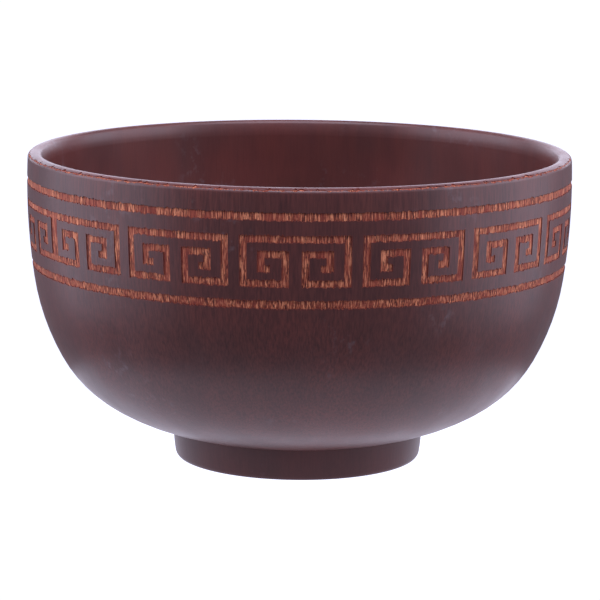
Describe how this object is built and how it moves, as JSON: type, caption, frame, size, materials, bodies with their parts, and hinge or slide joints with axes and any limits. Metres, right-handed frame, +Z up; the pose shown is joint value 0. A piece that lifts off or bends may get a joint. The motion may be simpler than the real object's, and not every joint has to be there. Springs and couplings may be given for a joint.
{
  "type": "turned wooden bowl",
  "caption": "Deep round wooden bowl on a low foot ring, lacquered dark, with a Greek key border engraved round it through the coat.",
  "frame": {"origin": "centre of the foot's land, on the surface that the bowl stands on", "axes": "+Z up along the turning axis; the place where the border's two ends meet lies 30 degrees past -X towards -Y"},
  "size_m": [0.15, 0.15, 0.0855],
  "materials": {
    "bare_wood": "sawn and engraved bare wood, matt, with fine upright fibres",
    "dark_lacquer": "dark red-brown stain under satin lacquer"
  },
  "bodies": {
    "root": {"bowl_body": "bare_wood", "foot_ring": "bare_wood", "inner_coat": "dark_lacquer", "collar_coat": "dark_lacquer", "band_coat": "dark_lacquer", "lower_coat": "dark_lacquer", "foot_coat": "dark_lacquer", "recess_coat": "dark_lacquer"}
  },
  "joints": []
}
